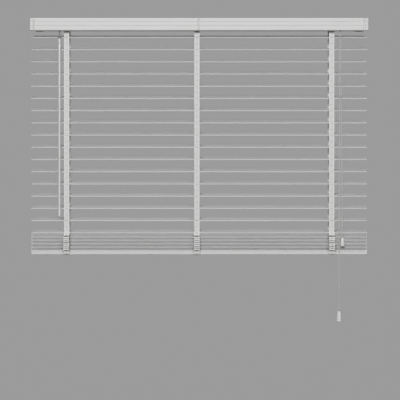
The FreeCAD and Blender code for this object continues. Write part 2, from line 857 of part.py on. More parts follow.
def make_tape_plugs():
    """Buttons pressed into the rail's underside over the ends of the tapes and lift cords."""
    bottom = "-bottom_rail_drop - bottom_rail_height"
    plugs = []
    for tape in TAPES:
        flange_start = (tape, 0, f"{bottom} - plug_thickness - 0.1")
        flange = rod("plug_flange", "plug_radius", "plug_thickness", flange_start, Z_AXIS)
        boss = rod("plug_boss", "plug_boss_radius", 2.6, (tape, 0, f"{bottom} - 0.1"), Z_AXIS)
        plugs.append(fuse("plug", [flange, boss]))
    node("tape_plugs", group("tape_plugs", plugs))


# ---------------------------------------------------------------- cord lock and cords

def make_cord_lock():
    floor = "-headrail_drop - headrail_height + headrail_wall"
    whole_y, whole_z = ("-lock_front", "lock_back"), (floor, "-lock_top_drop")
    block = box("lock_block", ("lock_left", "lock_right"), whole_y, whole_z)
    hollow = box(
        "lock_hollow",
        ("lock_left - 2", "lock_right - lock_wall"),
        ("-lock_front + lock_wall", "lock_back - lock_wall"),
        (f"{floor} + lock_wall", "-lock_top_drop - lock_wall"),
    )
    nose_y, nose_z = ("-nose_front", "-nose_back"), ("-nose_drop", "-nose_top_drop")
    nose = box("lock_nose", ("nose_left", "nose_right"), nose_y, nose_z)
    passage = box(
        "nose_passage",
        ("nose_left + 2", "nose_right - 2"),
        ("-nose_front + lock_wall", "-nose_back - 2"),
        ("-nose_drop - 1", "-nose_top_drop + 1"),
    )
    pin_bore = rod("pin_bore", "pawl_pin_radius + 0.05", 40, ("pawl_x", -29, "-pawl_drop"), Y_AXIS)
    shell = fuse("lock_shell", [cut("lock_walls", block, [hollow]), nose])
    node("cord_lock_housing", cut("cord_lock_housing", shell, [passage, pin_bore]))

    pin_start = ("pawl_x", "-lock_front", "-pawl_drop")
    pin = rod("pawl_pin", "pawl_pin_radius", "lock_front + lock_back", pin_start, Y_AXIS)
    hub = rod("pawl_hub", "pawl_hub_radius", 17, ("pawl_x", -11, "-pawl_drop"), Y_AXIS)
    jaw = box("pawl_jaw", about("pawl_x", 4), (-8, 5.5), ("-pawl_tip_drop", "-pawl_drop"))
    node("cord_lock_pawl", fuse("cord_lock_pawl", [pin, hub, jaw]))


def make_lift_cords():
    """Three cords held tight: up through every slat, over the cradle's bar and along to the lock."""
    radius = number("lift_cord_radius")
    bend = number("roller_radius") + radius
    run = number("-lift_cord_run_drop")
    low = number("-bottom_rail_drop - bottom_rail_height") + 3.5
    cords = []
    for place, tape in enumerate(TAPES):
        x = number(tape)
        y = (place - 1) * number("lift_cord_spacing")
        rise = Part.LineSegment(FreeCAD.Vector(x, y, low), FreeCAD.Vector(x, y, run - bend))
        middle = FreeCAD.Vector(x + bend * (1 - math.sqrt(0.5)), y, run - bend * (1 - math.sqrt(0.5)))
        leave = FreeCAD.Vector(x + bend, y, run)
        turn = Part.Arc(FreeCAD.Vector(x, y, run - bend), middle, leave)
        level = Part.LineSegment(leave, FreeCAD.Vector(number("lock_left + 8"), y, run))
        wire = Part.Wire([edge.toShape() for edge in (rise, turn, level)])
        cords.append(pipe(f"lift cord {place + 1}", wire, radius))
    lift = doc.addObject("Part::Feature", "lift_cords")
    lift.Shape = Part.makeCompound(cords)
    node("lift_cords", lift)


def cord_wire(label, route):
    """Straight runs joined by tangent arcs, each as large as its two runs allow."""
    edges = []
    start = route[0]
    for before, corner, after in zip(route, route[1:], route[2:]):
        back, ahead = before - corner, after - corner
        reach = 0.45 * min(back.Length, ahead.Length)
        half_turn = (math.pi - back.getAngle(ahead)) / 2
        radius = reach / math.tan(half_turn)
        back.normalize()
        ahead.normalize()
        entry, leave = corner + back * reach, corner + ahead * reach
        inward = back + ahead
        inward.normalize()
        middle = corner + inward * (radius / math.cos(half_turn) - radius)
        edges.append(Part.LineSegment(start, entry).toShape())
        edges.append(Part.Arc(entry, middle, leave).toShape())
        start = leave
        print(f"{label}: arc of radius {radius:.0f} mm")
    edges.append(Part.LineSegment(start, route[-1]).toShape())
    return Part.Wire(edges)


# Each pull cord hangs straight under its tassel's weight; the short one bears on the stack.
PULL_CORDS = {
    "pull_cord_a": [
        (508.6, -28.6, -38),
        (509.0, -28.8, -100),
        (510.8, -30.4, -320),
        (513.2, -32.6, -560),
        (514.8, -34.4, -791),
    ],
    "pull_cord_b": [
        (505.2, -28.6, -38),
        (505.0, -28.7, -120),
        (504.1, -29.5, -420),
        (503.5, -30.4, -740),
        (503.2, -31.0, -1055),
    ],
}


def make_pull_cords():
    for label, route in PULL_CORDS.items():
        points = [FreeCAD.Vector(*place) for place in route]
        cord = doc.addObject("Part::Feature", label)
        cord.Shape = pipe(label, cord_wire(label, points), number("pull_cord_diameter / 2"))
        node(label, cord)


def make_tassels():
    for label, cord, kind in (
        ("tassel_a", "pull_cord_a", "short_tassel"),
        ("tassel_b", "pull_cord_b", "long_tassel"),
    ):
        top, wide, height = f"{kind}_top_radius", f"{kind}_radius", f"{kind}_height"
        half = [
            (0, 0),
            (f"{top} * 0.45", 0),
            (f"{top} * 0.85", -1.6),
            (top, -4),
            (f"{wide} - 0.2", f"-{height} + 5"),
            (wide, f"-{height} + 3.2"),
            (f"{wide} - 1.4", f"-{height}"),
            (0, f"-{height}"),
        ]
        node(label, turned(label, half, PULL_CORDS[cord][-1]))


# ---------------------------------------------------------------- build, test and write

make_headrail()
make_headrail_end_caps()
make_mounting_brackets()
make_valance()
make_valance_clips()
make_tilt_rod()
make_tilt_drums()
make_drum_cradles()
make_tilter_housing()
make_tilter_worm()
make_tilter_gear()
make_wand_hook()
make_wand()
make_hanging_slats()
make_ladder_rungs()
make_tapes()
make_stacked_slats()
make_stack_tape_folds()
make_bottom_rail()
make_tape_plugs()
make_cord_lock()
make_lift_cords()
make_pull_cords()
make_tassels()
doc.recompute()

for item in doc.Objects:
    if "Invalid" in item.State or "Error" in item.State:
        raise RuntimeError(f"{item.Name} failed: {item.State}")
for label, piece in nodes.items():
    if piece.Shape.isNull() or not piece.Shape.isValid() or not piece.Shape.Solids:
        raise RuntimeError(f"{label} has no valid solid")

os.makedirs("parts", exist_ok=True)
for label, piece in nodes.items():
    piece.Shape.exportStep(f"parts/{label}.step")
    print(f"{label}: {len(piece.Shape.Solids)} solids, {piece.Shape.Volume / 1000:.2f} cm3")
print(f"{len(nodes)} nodes")
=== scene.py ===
"""Looks for the venetian blind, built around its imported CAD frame.

Everything is in metres in the CAD's own frame: +X to the right, -Y towards the room, +Z up, the
origin between the ceiling screws. The CAD keeps the slats, the rails and the fittings. This script
makes what is soft or finely shaped: the ladder tapes and their rungs, the tapes' folds beside the
stack, the lift and pull cords, the wand and the tassels.
"""

import json
import math
import random

import bmesh
import bpy
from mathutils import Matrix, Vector


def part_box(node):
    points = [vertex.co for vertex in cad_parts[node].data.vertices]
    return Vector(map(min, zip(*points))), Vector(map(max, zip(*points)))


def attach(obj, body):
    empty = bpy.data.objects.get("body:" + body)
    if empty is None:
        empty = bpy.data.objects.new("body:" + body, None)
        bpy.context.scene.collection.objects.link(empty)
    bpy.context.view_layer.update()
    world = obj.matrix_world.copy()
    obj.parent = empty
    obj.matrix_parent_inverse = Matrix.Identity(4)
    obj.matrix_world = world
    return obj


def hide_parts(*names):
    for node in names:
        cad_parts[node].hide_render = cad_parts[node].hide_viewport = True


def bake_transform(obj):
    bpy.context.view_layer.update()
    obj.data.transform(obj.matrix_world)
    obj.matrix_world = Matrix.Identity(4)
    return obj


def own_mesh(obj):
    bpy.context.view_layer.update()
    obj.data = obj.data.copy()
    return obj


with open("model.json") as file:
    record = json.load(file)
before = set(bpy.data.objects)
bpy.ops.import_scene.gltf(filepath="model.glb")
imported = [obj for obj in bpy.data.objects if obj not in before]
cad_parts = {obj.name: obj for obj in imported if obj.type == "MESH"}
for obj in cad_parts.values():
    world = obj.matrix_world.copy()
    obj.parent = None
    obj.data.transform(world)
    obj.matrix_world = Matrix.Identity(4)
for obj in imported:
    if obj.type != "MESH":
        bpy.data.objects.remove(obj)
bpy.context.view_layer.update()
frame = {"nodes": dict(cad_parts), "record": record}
nodes = frame["nodes"]

HANGING_SLATS = 16
MM = 0.001
MARK_PITCH = 22 * MM  # the tapes' woven lines: at each rung and midway to the next


# ---------------------------------------------------------------- places read from the frame

def middle(name):
    low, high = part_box(name)
    return (low + high) / 2


SLAT_Z = [middle(f"slat_{i:02d}").z for i in range(1, HANGING_SLATS + 1)]
PITCH = SLAT_Z[0] - SLAT_Z[1]
TILT = math.radians(13)  # as built: each slat's front edge is down
EDGE_RISE = 23.5 * MM * math.sin(TILT)
STACK_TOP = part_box("stack_tape_folds")[1].z
RAIL_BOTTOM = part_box("bottom_rail")[0].z

TAPE_X = (-0.477, -0.008, 0.477)
TAPE_WIDTH = 0.019
TAPE_FACE = -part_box("front_tapes")[0].y  # a tape's outer face, from the blind's middle
TAPE_STEP = 0.0044  # between the points along a tape
DRUM_Z = -0.020  # where the tapes leave their drums,
DRUM_REACH = 0.0106  # this far from the tilt rod's middle
PLUMB_Z = -0.046  # below it the tapes hang plumb

LIFT_CORD_RADIUS = 0.7 * MM
LIFT_CORD_BEND = 3.7 * MM  # the bend from a fall to the run along the headrail


# ---------------------------------------------------------------- camera

def make_camera():
    data = bpy.data.cameras.new("camera")
    data.lens = 125
    data.sensor_width = 36
    data.clip_end = 50
    camera = bpy.data.objects.new("camera", data)
    camera.location = (0.003, -5.025, -0.655)
    camera.rotation_euler = (math.radians(90), 0, 0)
    bpy.context.scene.collection.objects.link(camera)
    bpy.context.scene.camera = camera


# ---------------------------------------------------------------- materials

class Material:
    """A node material: each call adds a node, fed by plain values or other nodes' outputs."""

    def __init__(self, name):
        self.material = bpy.data.materials.new(name)
        self.material.use_nodes = True
        self.tree = self.material.node_tree
        self.shader = self.tree.nodes["Principled BSDF"]

    def node(self, kind, inputs=None, output=0, **settings):
        made = self.tree.nodes.new("ShaderNode" + kind)
        for key, value in settings.items():
            setattr(made, key, value)
        for key, value in (inputs or {}).items():
            self.feed(made.inputs[key], value)
        return made.outputs[output]

    def feed(self, socket, value):
        if isinstance(value, bpy.types.NodeSocket):
            self.tree.links.new(value, socket)
        else:
            socket.default_value = value

    def set(self, **inputs):
        for key, value in inputs.items():
            self.feed(self.shader.inputs[key.replace("_", " ")], value)

    def place(self, scale=(1, 1, 1), source="Object"):
        """Coordinates on the piece itself, so that they stay with it when it moves."""
        found = self.node("TexCoord", output=source)
        return self.node("Mapping", {"Vector": found, "Scale": scale})

    def noise(self, where, scale, detail=3, roughness=0.5):
        inputs = {"Vector": where, "Scale": scale, "Detail": detail, "Roughness": roughness}
        return self.node("TexNoise", inputs, output="Fac")

    def math(self, operation, a, b=0.5):
        return self.node("Math", {0: a, 1: b}, operation=operation)

    def span(self, value, low, high, new_low, new_high):
        """A value between low and high, taken to between new_low and new_high."""
        inputs = {0: value, 1: low, 2: high, 3: new_low, 4: new_high}
        return self.node("MapRange", inputs)

    def tint(self, factor, first, second):
        """A colour between two, by a factor."""
        inputs = {0: factor, 6: (*first, 1), 7: (*second, 1)}
        return self.node("Mix", inputs, output=2, data_type="RGBA")

    def blend(self, factor, first, second):
        """As tint, with sockets or colours that already have an alpha."""
        inputs = {0: factor, 6: first, 7: second}
        return self.node("Mix", inputs, output=2, data_type="RGBA")

    def bump(self, height, distance, strength=1.0, under=None):
        inputs = {"Height": height, "Distance": distance, "Strength": strength}
        if under is not None:
            inputs["Normal"] = under
        return self.node("Bump", inputs)


def painted_wood(name, tone):
    """Smooth paint over an embossed wood grain that runs along X, with a little dust and wear."""
    m = Material(name)
    grain = m.noise(m.place((9, 260, 260)), 1, 4, 0.6)
    drift = m.noise(m.place((2.2, 16, 16)), 1, 3)
    speck = m.noise(m.place((700, 700, 700)), 1, 2)
    colour = m.tint(m.span(grain, 0.3, 0.7, 0, 1), [t * 0.955 for t in tone], tone)
    shade = m.span(drift, 0.3, 0.7, 0.0, 0.09)
    colour = m.blend(shade, colour, (*[t * 0.8 for t in tone], 1))
    worn = m.span(drift, 0.3, 0.7, 0.36, 0.46)
    rough = m.math("ADD", worn, m.span(grain, 0.3, 0.7, -0.03, 0.04))
    fine = m.bump(speck, 0.00004, 0.35)
    relief = m.bump(grain, 0.00016, 0.5, fine)
    m.set(Base_Color=colour, Roughness=rough, Normal=relief, Specular_IOR_Level=0.42)
    m.set(Coat_Weight=0.06, Coat_Roughness=0.3)
    return m.material


def woven_tape(name, tone):
    """Ladder tape: fine warp and weft, firm selvedges and a line at each rung, with painted shade
    darkening its middle and a painted highlight lightening its edges.
    """
    m = Material(name)
    across = m.node("SeparateXYZ", {0: m.place(source="UV")}, output="X")
    up = m.node("SeparateXYZ", {0: m.place(source="UV")}, output="Y")
    warp = m.math("SINE", m.math("MULTIPLY", across, 2 * math.pi / (0.62 * MM)))
    weft = m.math("SINE", m.math("MULTIPLY", up, 2 * math.pi / (0.50 * MM)))
    weave = m.math("MULTIPLY", warp, weft)
    rib = m.math("SINE", m.math("MULTIPLY", up, 2 * math.pi / (2.2 * MM)))
    slub = m.noise(m.place((260, 900, 1), "UV"), 1, 3)
    from_middle = m.math("ABSOLUTE", across)
    # painted highlight: the tape's edges are made paler as if lit along the raised selvedges
    edge_highlight = m.span(from_middle, 6.4 * MM, 7.2 * MM, 0, 1)
    # painted shade: the tape's middle is darkened as if shaded between the raised selvedges
    middle_shade = m.span(from_middle, 3.6 * MM, 4.4 * MM, 1, 0)
    inside = m.span(from_middle, 6.0 * MM, 6.6 * MM, 1, 0)
    beat = m.math("COSINE", m.math("MULTIPLY", up, 2 * math.pi / MARK_PITCH))
    line = m.math("MULTIPLY", m.span(beat, 0.987, 0.994, 0, 1), inside)
    soil = m.math("MULTIPLY", m.span(slub, 0.35, 0.7, 0, 1), 0.10)
    # pale is the tone of the painted highlight on the tape's edges
    pale = [min(1, t * 1.05) for t in tone]
    colour = m.tint(m.span(weave, -1, 1, 0, 1), [t * 0.90 for t in tone], tone)
    # painted shade down the middle of the tape
    colour = m.blend(m.math("MULTIPLY", middle_shade, 0.12), colour, (0.36, 0.36, 0.355, 1))
    colour = m.blend(soil, colour, (0.52, 0.52, 0.51, 1))
    colour = m.blend(m.math("MULTIPLY", line, 0.55), colour, (0.30, 0.30, 0.295, 1))
    # painted highlight along the tape's edges
    colour = m.blend(m.math("MULTIPLY", edge_highlight, 0.35), colour, (*pale, 1))
    ribs = m.bump(rib, 0.00005, 0.35)
    relief = m.bump(weave, 0.00012, 0.7, ribs)
    m.set(Base_Color=colour, Roughness=m.span(slub, 0.3, 0.7, 0.78, 0.92), Normal=relief)
    m.set(Sheen_Weight=0.25, Sheen_Roughness=0.5, Specular_IOR_Level=0.25)
    return m.material


def braided_cord(name, tone):
    """Round braid: two families of strands that cross, in UV metres round and along."""
    m = Material(name)
    where = m.place(source="UV")
    turn = m.node("SeparateXYZ", {0: where}, output="X")
    run = m.node("SeparateXYZ", {0: where}, output="Y")
    round_it = m.math("MULTIPLY", turn, 2 * math.pi * 4)
    along = m.math("MULTIPLY", run, 2 * math.pi / (1.9 * MM))
    left = m.math("SINE", m.math("ADD", along, round_it))
    right = m.math("SINE", m.math("SUBTRACT", along, round_it))
    strands = m.math("MAXIMUM", left, right)
    fuzz = m.noise(m.place((1800, 1800, 1800)), 1, 2)
    colour = m.tint(m.span(strands, -0.6, 1, 0, 1), [t * 0.72 for t in tone], tone)
    colour = m.blend(m.span(fuzz, 0.4, 0.8, 0, 0.12), colour, (0.45, 0.44, 0.42, 1))
    relief = m.bump(strands, 0.00012, 0.8)
    m.set(Base_Color=colour, Roughness=m.span(fuzz, 0.3, 0.7, 0.72, 0.9), Normal=relief)
    m.set(Sheen_Weight=0.2, Sheen_Roughness=0.5, Specular_IOR_Level=0.25)
    return m.material


def moulded(name, tone, rough, coat=0.0, mottle=0.05):
    """Moulded or turned and lacquered: faint flow marks, fingerprints and a fine texture."""
    m = Material(name)
    flow = m.noise(m.place((60, 60, 18)), 1, 3)
    smudge = m.noise(m.place((240, 240, 240)), 1, 4, 0.6)
    colour = m.tint(m.span(flow, 0.3, 0.7, 0, 1), [t * (1 - mottle) for t in tone], tone)
    relief = m.bump(smudge, 0.00005, 0.4)
    m.set(Base_Color=colour, Roughness=m.span(smudge, 0.3, 0.7, rough - 0.06, rough + 0.07))
    m.set(Normal=relief, Specular_IOR_Level=0.5, Coat_Weight=coat, Coat_Roughness=0.15)
    return m.material


def clear_plastic(name):
    """Thin clear plastic, a little scuffed, that mostly shows what is behind it."""
    m = Material(name)
    scuff = m.noise(m.place((500, 500, 90)), 1, 4, 0.65)
    rough = m.span(scuff, 0.35, 0.7, 0.12, 0.34)
    colour = m.tint(m.span(scuff, 0.3, 0.7, 0, 1), (0.80, 0.80, 0.795), (0.86, 0.86, 0.855))
    m.set(Base_Color=colour, Roughness=rough, Normal=m.bump(scuff, 0.00004, 0.4))
    m.set(Alpha=m.span(scuff, 0.35, 0.7, 0.10, 0.20), Specular_IOR_Level=0.5)
    return m.material


def powder_coated(name, tone):
    """Painted steel with a fine orange peel."""
    m = Material(name)
    peel = m.noise(m.place((900, 900, 900)), 1, 2)
    drift = m.noise(m.place((7, 40, 40)), 1, 3)
    colour = m.tint(m.span(drift, 0.3, 0.7, 0, 1), [t * 0.94 for t in tone], tone)
    m.set(Base_Color=colour, Roughness=m.span(peel, 0.3, 0.7, 0.34, 0.44))
    m.set(Normal=m.bump(peel, 0.00006, 0.4), Specular_IOR_Level=0.5)
    return m.material


def bare_metal(name, tone, rough, lines=(8, 900, 900)):
    """Plated or drawn metal: fine lines, cloudy plating and darker stains."""
    m = Material(name)
    drawn = m.noise(m.place(lines), 1, 3)
    cloud = m.noise(m.place((120, 120, 120)), 1, 4, 0.6)
    colour = m.tint(m.span(cloud, 0.35, 0.7, 0, 1), tone, [t * 0.82 for t in tone])
    clouded = m.span(cloud, 0.3, 0.7, rough, rough + 0.12)
    mixed = m.math("ADD", m.span(drawn, 0.3, 0.7, -0.05, 0.05), clouded)
    m.set(Base_Color=colour, Metallic=1.0, Roughness=mixed, Normal=m.bump(drawn, 0.00003, 0.4))
    return m.material


def make_materials():
    """One material for each of the record's slots."""
    return {
        "slat_finish": painted_wood("slat_finish", (0.79, 0.79, 0.786)),
        "tape_fabric": woven_tape("tape_fabric", (0.90, 0.90, 0.894)),
        "cord_fabric": braided_cord("cord_fabric", (0.80, 0.80, 0.79)),
        "wand_finish": moulded("wand_finish", (0.86, 0.86, 0.855), 0.3, coat=0.25),
        "headrail_steel": powder_coated("headrail_steel", (0.72, 0.72, 0.71)),
        "bare_steel": bare_metal("bare_steel", (0.62, 0.62, 0.60), 0.32),
        "worm_metal": bare_metal("worm_metal", (0.74, 0.74, 0.73), 0.34, (300, 300, 300)),
        "hook_wire": bare_metal("hook_wire", (0.17, 0.17, 0.17), 0.30, (400, 400, 60)),
        "fitting_plastic": moulded("fitting_plastic", (0.66, 0.66, 0.64), 0.42),
        "clip_plastic": clear_plastic("clip_plastic"),
    }


def dress_cad_nodes(materials):
    """Each CAD node takes the material of its own slot."""
    for subpart in frame["record"]["subparts"]:
        slot = subpart.get("material_slot")
        piece = nodes[subpart["node"]]
        piece.data.materials.clear()
        piece.data.materials.append(materials[slot])


# ---------------------------------------------------------------- mesh helpers

def piece_from(name, points, faces, uvs=None, smooth=True):
    """A piece from its points and faces, with UVs per point where they matter."""
    mesh = bpy.data.meshes.new(name)
    mesh.from_pydata([tuple(p) for p in points], [], faces)
    if uvs:
        layer = mesh.uv_layers.new(name="UVMap")
        for loop in mesh.loops:
            layer.data[loop.index].uv = uvs[loop.vertex_index]
    for polygon in mesh.polygons:
        polygon.use_smooth = smooth
    piece = bpy.data.objects.new(name, mesh)
    bpy.context.scene.collection.objects.link(piece)
    return piece


def finish_piece(piece, materials, slot, body=None, replaced=(), sharp=None):
    """Face the normals outward, then give the piece its slot's material, attach it to its body and
    hide the CAD nodes that it stands in for.
    """
    shaper = bmesh.new()
    shaper.from_mesh(piece.data)
    bmesh.ops.recalc_face_normals(shaper, faces=shaper.faces)
    shaper.to_mesh(piece.data)
    shaper.free()
    if sharp is not None:
        piece.data.set_sharp_from_angle(angle=math.radians(sharp))
    piece.data.materials.append(materials[slot])
    if body:
        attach(piece, body)
    if replaced:
        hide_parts(*replaced)
    return piece


# A tape's section: how far across, as a share of half its width, and how thick there.
TAPE_SECTION = (
    (-1.0, 0.35), (-0.97, 0.95), (-0.84, 1.0), (-0.76, 0.78), (-0.4, 0.72), (0.0, 0.72),
    (0.4, 0.72), (0.76, 0.78), (0.84, 1.0), (0.97, 0.95), (1.0, 0.35),
)


def ribbon(x, line, width=TAPE_WIDTH, thickness=0.8 * MM, run=0.0):
    """Points, faces and UVs of a flat woven ribbon: line is its centre, as (y, z) pairs."""
    points, faces, uvs = [], [], []
    columns = len(TAPE_SECTION)
    for i, (y, z) in enumerate(line):
        before, after = line[max(i - 1, 0)], line[min(i + 1, len(line) - 1)]
        dy, dz = after[0] - before[0], after[1] - before[1]
        size = math.hypot(dy, dz) or 1.0
        out_y, out_z = dz / size, -dy / size
        if i:
            run += math.hypot(y - line[i - 1][0], z - line[i - 1][1])
        for side in (1, -1):
            for share, thick in TAPE_SECTION[::side]:
                half = thick * thickness / 2 * side
                points.append((x + share * width / 2, y + out_y * half, z + out_z * half))
                uvs.append((share * width / 2, run))
    ring = 2 * columns
    for i in range(len(line) - 1):
        for k in range(ring):
            a, b = i * ring + k, i * ring + (k + 1) % ring
            faces.append((a, b, b + ring, a + ring))
    for start in (0, (len(line) - 1) * ring):
        for k in range(columns - 1):
            faces.append((start + k, start + k + 1, start + ring - 2 - k, start + ring - 1 - k))
    return points, faces, uvs


def merged(parts):
    """Several sets of points, faces and UVs as one."""
    points, faces, uvs = [], [], []
    for more_points, more_faces, more_uvs in parts:
        base = len(points)
        points += more_points
        faces += [tuple(base + v for v in face) for face in more_faces]
        uvs += more_uvs
    return points, faces, uvs


def lathe(outline, centre, sides=48):
    """Points and faces turned about a vertical line: outline is (radius, height) from the top."""
    points, faces = [], []
    for radius, height in outline:
        for k in range(sides):
            turn = 2 * math.pi * k / sides
            out = Vector((radius * math.cos(turn), radius * math.sin(turn), height))
            points.append(centre + out)
    for i in range(len(outline) - 1):
        for k in range(sides):
            a, b = i * sides + k, i * sides + (k + 1) % sides
            faces.append((a, b, b + sides, a + sides))
    faces.append(tuple(range(sides)))
    faces.append(tuple(range((len(outline) - 1) * sides, len(outline) * sides)))
    return points, faces


def tube(line, radius, sides=10):
    """Points, faces and UVs of a round tube along a line of points."""
    points, faces, uvs = [], [], []
    line = [Vector(p) for p in line]
    run = 0.0
    side = Vector((1, 0, 0))
    for i, place in enumerate(line):
        heading = (line[min(i + 1, len(line) - 1)] - line[max(i - 1, 0)]).normalized()
        side = (side - heading * side.dot(heading)).normalized()
        other = heading.cross(side)
        if i:
            run += (place - line[i - 1]).length
        for k in range(sides):
            turn = 2 * math.pi * k / sides
            points.append(place + (side * math.cos(turn) + other * math.sin(turn)) * radius)
            uvs.append((2 * abs(k / sides - 0.5), run))
    for i in range(len(line) - 1):
        for k in range(sides):
            a, b = i * sides + k, i * sides + (k + 1) % sides
            faces.append((a, b, b + sides, a + sides))
    faces.append(tuple(range(sides)))
    faces.append(tuple(range((len(line) - 1) * sides, len(line) * sides)))
    return points, faces, uvs


def even_line(start, end, step):
    """Evenly spaced (y, z) points from start to end."""
    count = max(2, round(math.dist(start, end) / step) + 1)
    return [
        tuple(a + (b - a) * i / (count - 1) for a, b in zip(start, end))
        for i in range(count)
    ]


# ---------------------------------------------------------------- ladder tapes

def edge_height(i, side):
    """Where a tape passes the edge of slat i: -1 for its front edge, 1 for its back edge."""
    return SLAT_Z[i - 1] + side * EDGE_RISE


def stitches(x, side, heights):
    """The raised stitches that hold each rung, on the tape's outer face."""
    half = 1.1
    parts = []
    for height in heights:
        y = side * (TAPE_FACE + 0.05 * MM)
        line = [(y, height + d * MM) for d in (-half, -0.7, 0.0, 0.7, half)]
        parts.append(ribbon(x, line, width=12.6 * MM, thickness=0.5 * MM, run=-half * MM))
    return parts


def length_of(line):
    return sum(math.dist(a, b) for a, b in zip(line, line[1:]))


def bowed_line(y, side, heights, lean):
    """A tape's line down past the slats' edges, bowed out a little between the rungs."""
    line = []
    for high, low, more in zip(heights, heights[1:], lean):
        for _, z in even_line((y, high), (y, low), TAPE_STEP)[:-1]:
            bow = math.sin(math.pi * (high - z) / PITCH) * (0.25 * MM + more)
            line.append((y + side * bow, z))
    return [*line, (y, heights[-1])]


def make_tapes(materials):
    """Tapes on the slats' edges; on the blind they shorten from slat to slat as it rises."""
    rng = random.Random(4)
    for label, side in (("front", -1), ("back", 1)):
        body = f"{label}_tapes"
        middle_y = side * (TAPE_FACE - 0.3 * MM)
        heights = [edge_height(i, side) for i in range(1, HANGING_SLATS + 1)]
        top, bottom = heights[0], heights[-1]
        for place, x in zip(("left", "centre", "right"), TAPE_X):
            lean = [rng.uniform(-0.1, 0.1) * MM for _ in range(HANGING_SLATS)]
            line = bowed_line(middle_y, side, heights, lean)
            parts = [ribbon(x, line), *stitches(x, side, heights)]
            strip = piece_from(f"{label}_tape_{place}", *merged(parts))
            replaced = [body] if place == "left" else []
            finish_piece(strip, materials, "tape_fabric", body, replaced)
            # a ladder step of 44 mm closes by 35 mm as the blind rises
            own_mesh(strip)

            bend = (middle_y, PLUMB_Z)
            head_line = even_line((side * DRUM_REACH, DRUM_Z), bend, 0.004)[:-1]
            head_line += even_line(bend, (middle_y, top), 0.004)
            head_length = length_of(head_line)
            head_shape = ribbon(x, head_line, run=-head_length)
            head = piece_from(f"{label}_tape_head_{place}", *head_shape)
            finish_piece(head, materials, "tape_fabric")
            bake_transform(head)

            # The tail stays clear of the stack's edges, inside the folds.
            clear = side * 25.6 * MM
            bend, end_z = (clear, STACK_TOP + 0.010), STACK_TOP - 0.022
            tail_line = even_line((middle_y, bottom), bend, TAPE_STEP)[:-1]
            tail_line += even_line(bend, (clear, end_z), TAPE_STEP)
            tail = piece_from(f"{label}_tape_tail_{place}", *ribbon(x, tail_line))
            finish_piece(tail, materials, "tape_fabric")
            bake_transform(tail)


def rung_line(z):
    """A rung's line under the slat at height z, which comes up a little at both ends."""
    reach, under, steps = 23.7 * MM, 2.05 * MM, 12
    line = []
    for share in [k / steps for k in range(-steps, steps + 1)]:
        along = share * reach
        drop = under - 0.35 * MM * max(0, abs(share) - 0.8) / 0.2
        line.append((
            along * math.cos(TILT) + drop * math.sin(TILT),
            z + along * math.sin(TILT) - drop * math.cos(TILT),
        ))
    return line


def make_rungs(materials):
    """Under each slat, two narrow ribbons per tape that end in the tapes' stitches."""
    offset, width = 6 * MM, 6 * MM
    for i, z in enumerate(SLAT_Z, 1):
        line = rung_line(z)
        parts = [
            ribbon(x + side * offset, line, width=width, thickness=0.5 * MM)
            for x in TAPE_X
            for side in (-1, 1)
        ]
        rungs = piece_from(f"rungs_{i:02d}", *merged(parts))
        finish_piece(rungs, materials, "tape_fabric", f"slat_{i:02d}", [f"ladder_rungs_{i:02d}"])


def teardrop(start, reach, height, steps=14):
    """A loop of tape that leaves the stack at start, swells to a round end and comes back."""
    y, z = start
    bulge = height / 2
    foot = 0.12 * height  # each end starts this far inside the loop's height
    first = math.radians(112)
    line = [(y, z - foot)]
    for k in range(steps + 1):
        turn = first - 2 * first * k / steps
        out, up = bulge * math.cos(turn), bulge * math.sin(turn)
        line.append((y + reach - bulge + out, z - bulge + up))
    line.append((y, z - height + foot))
    return line


def smooth_line(line, rounds=2):
    """Corner cutting, which leaves the ends where they are."""
    for _ in range(rounds):
        cut = [line[0]]
        for (ay, az), (by, bz) in zip(line, line[1:]):
            cut.append((ay * 0.75 + by * 0.25, az * 0.75 + bz * 0.25))
            cut.append((ay * 0.25 + by * 0.75, az * 0.25 + bz * 0.75))
        line = cut + [line[-1]]
    return line


def sideways(z, levels, shifts):
    """How far a point of the folds is off the tape's middle: the loops are out of line."""
    fades_over = 8 * MM  # below the last loop
    for high, low, above, below in zip(levels, levels[1:], shifts, shifts[1:]):
        if low <= z <= high:
            return above + (below - above) * (high - z) / (high - low)
    if z > levels[0]:
        return shifts[0]
    return shifts[-1] * max(0, 1 - (levels[-1] - z) / fades_over)


# The loops of slack tape, from the top down, in mm: height, gap below, reach out of the stack.
LOOPS = (
    (9.0, 2.9, 14.5), (6.9, 0.9, 19.8), (6.4, 0.9, 20.4), (5.4, 1.7, 17.2),
    (5.0, 0.9, 18.6), (6.4, 1.0, 20.0), (4.5, 0.8, 16.8), (8.0, 2.6, 14.8),
)


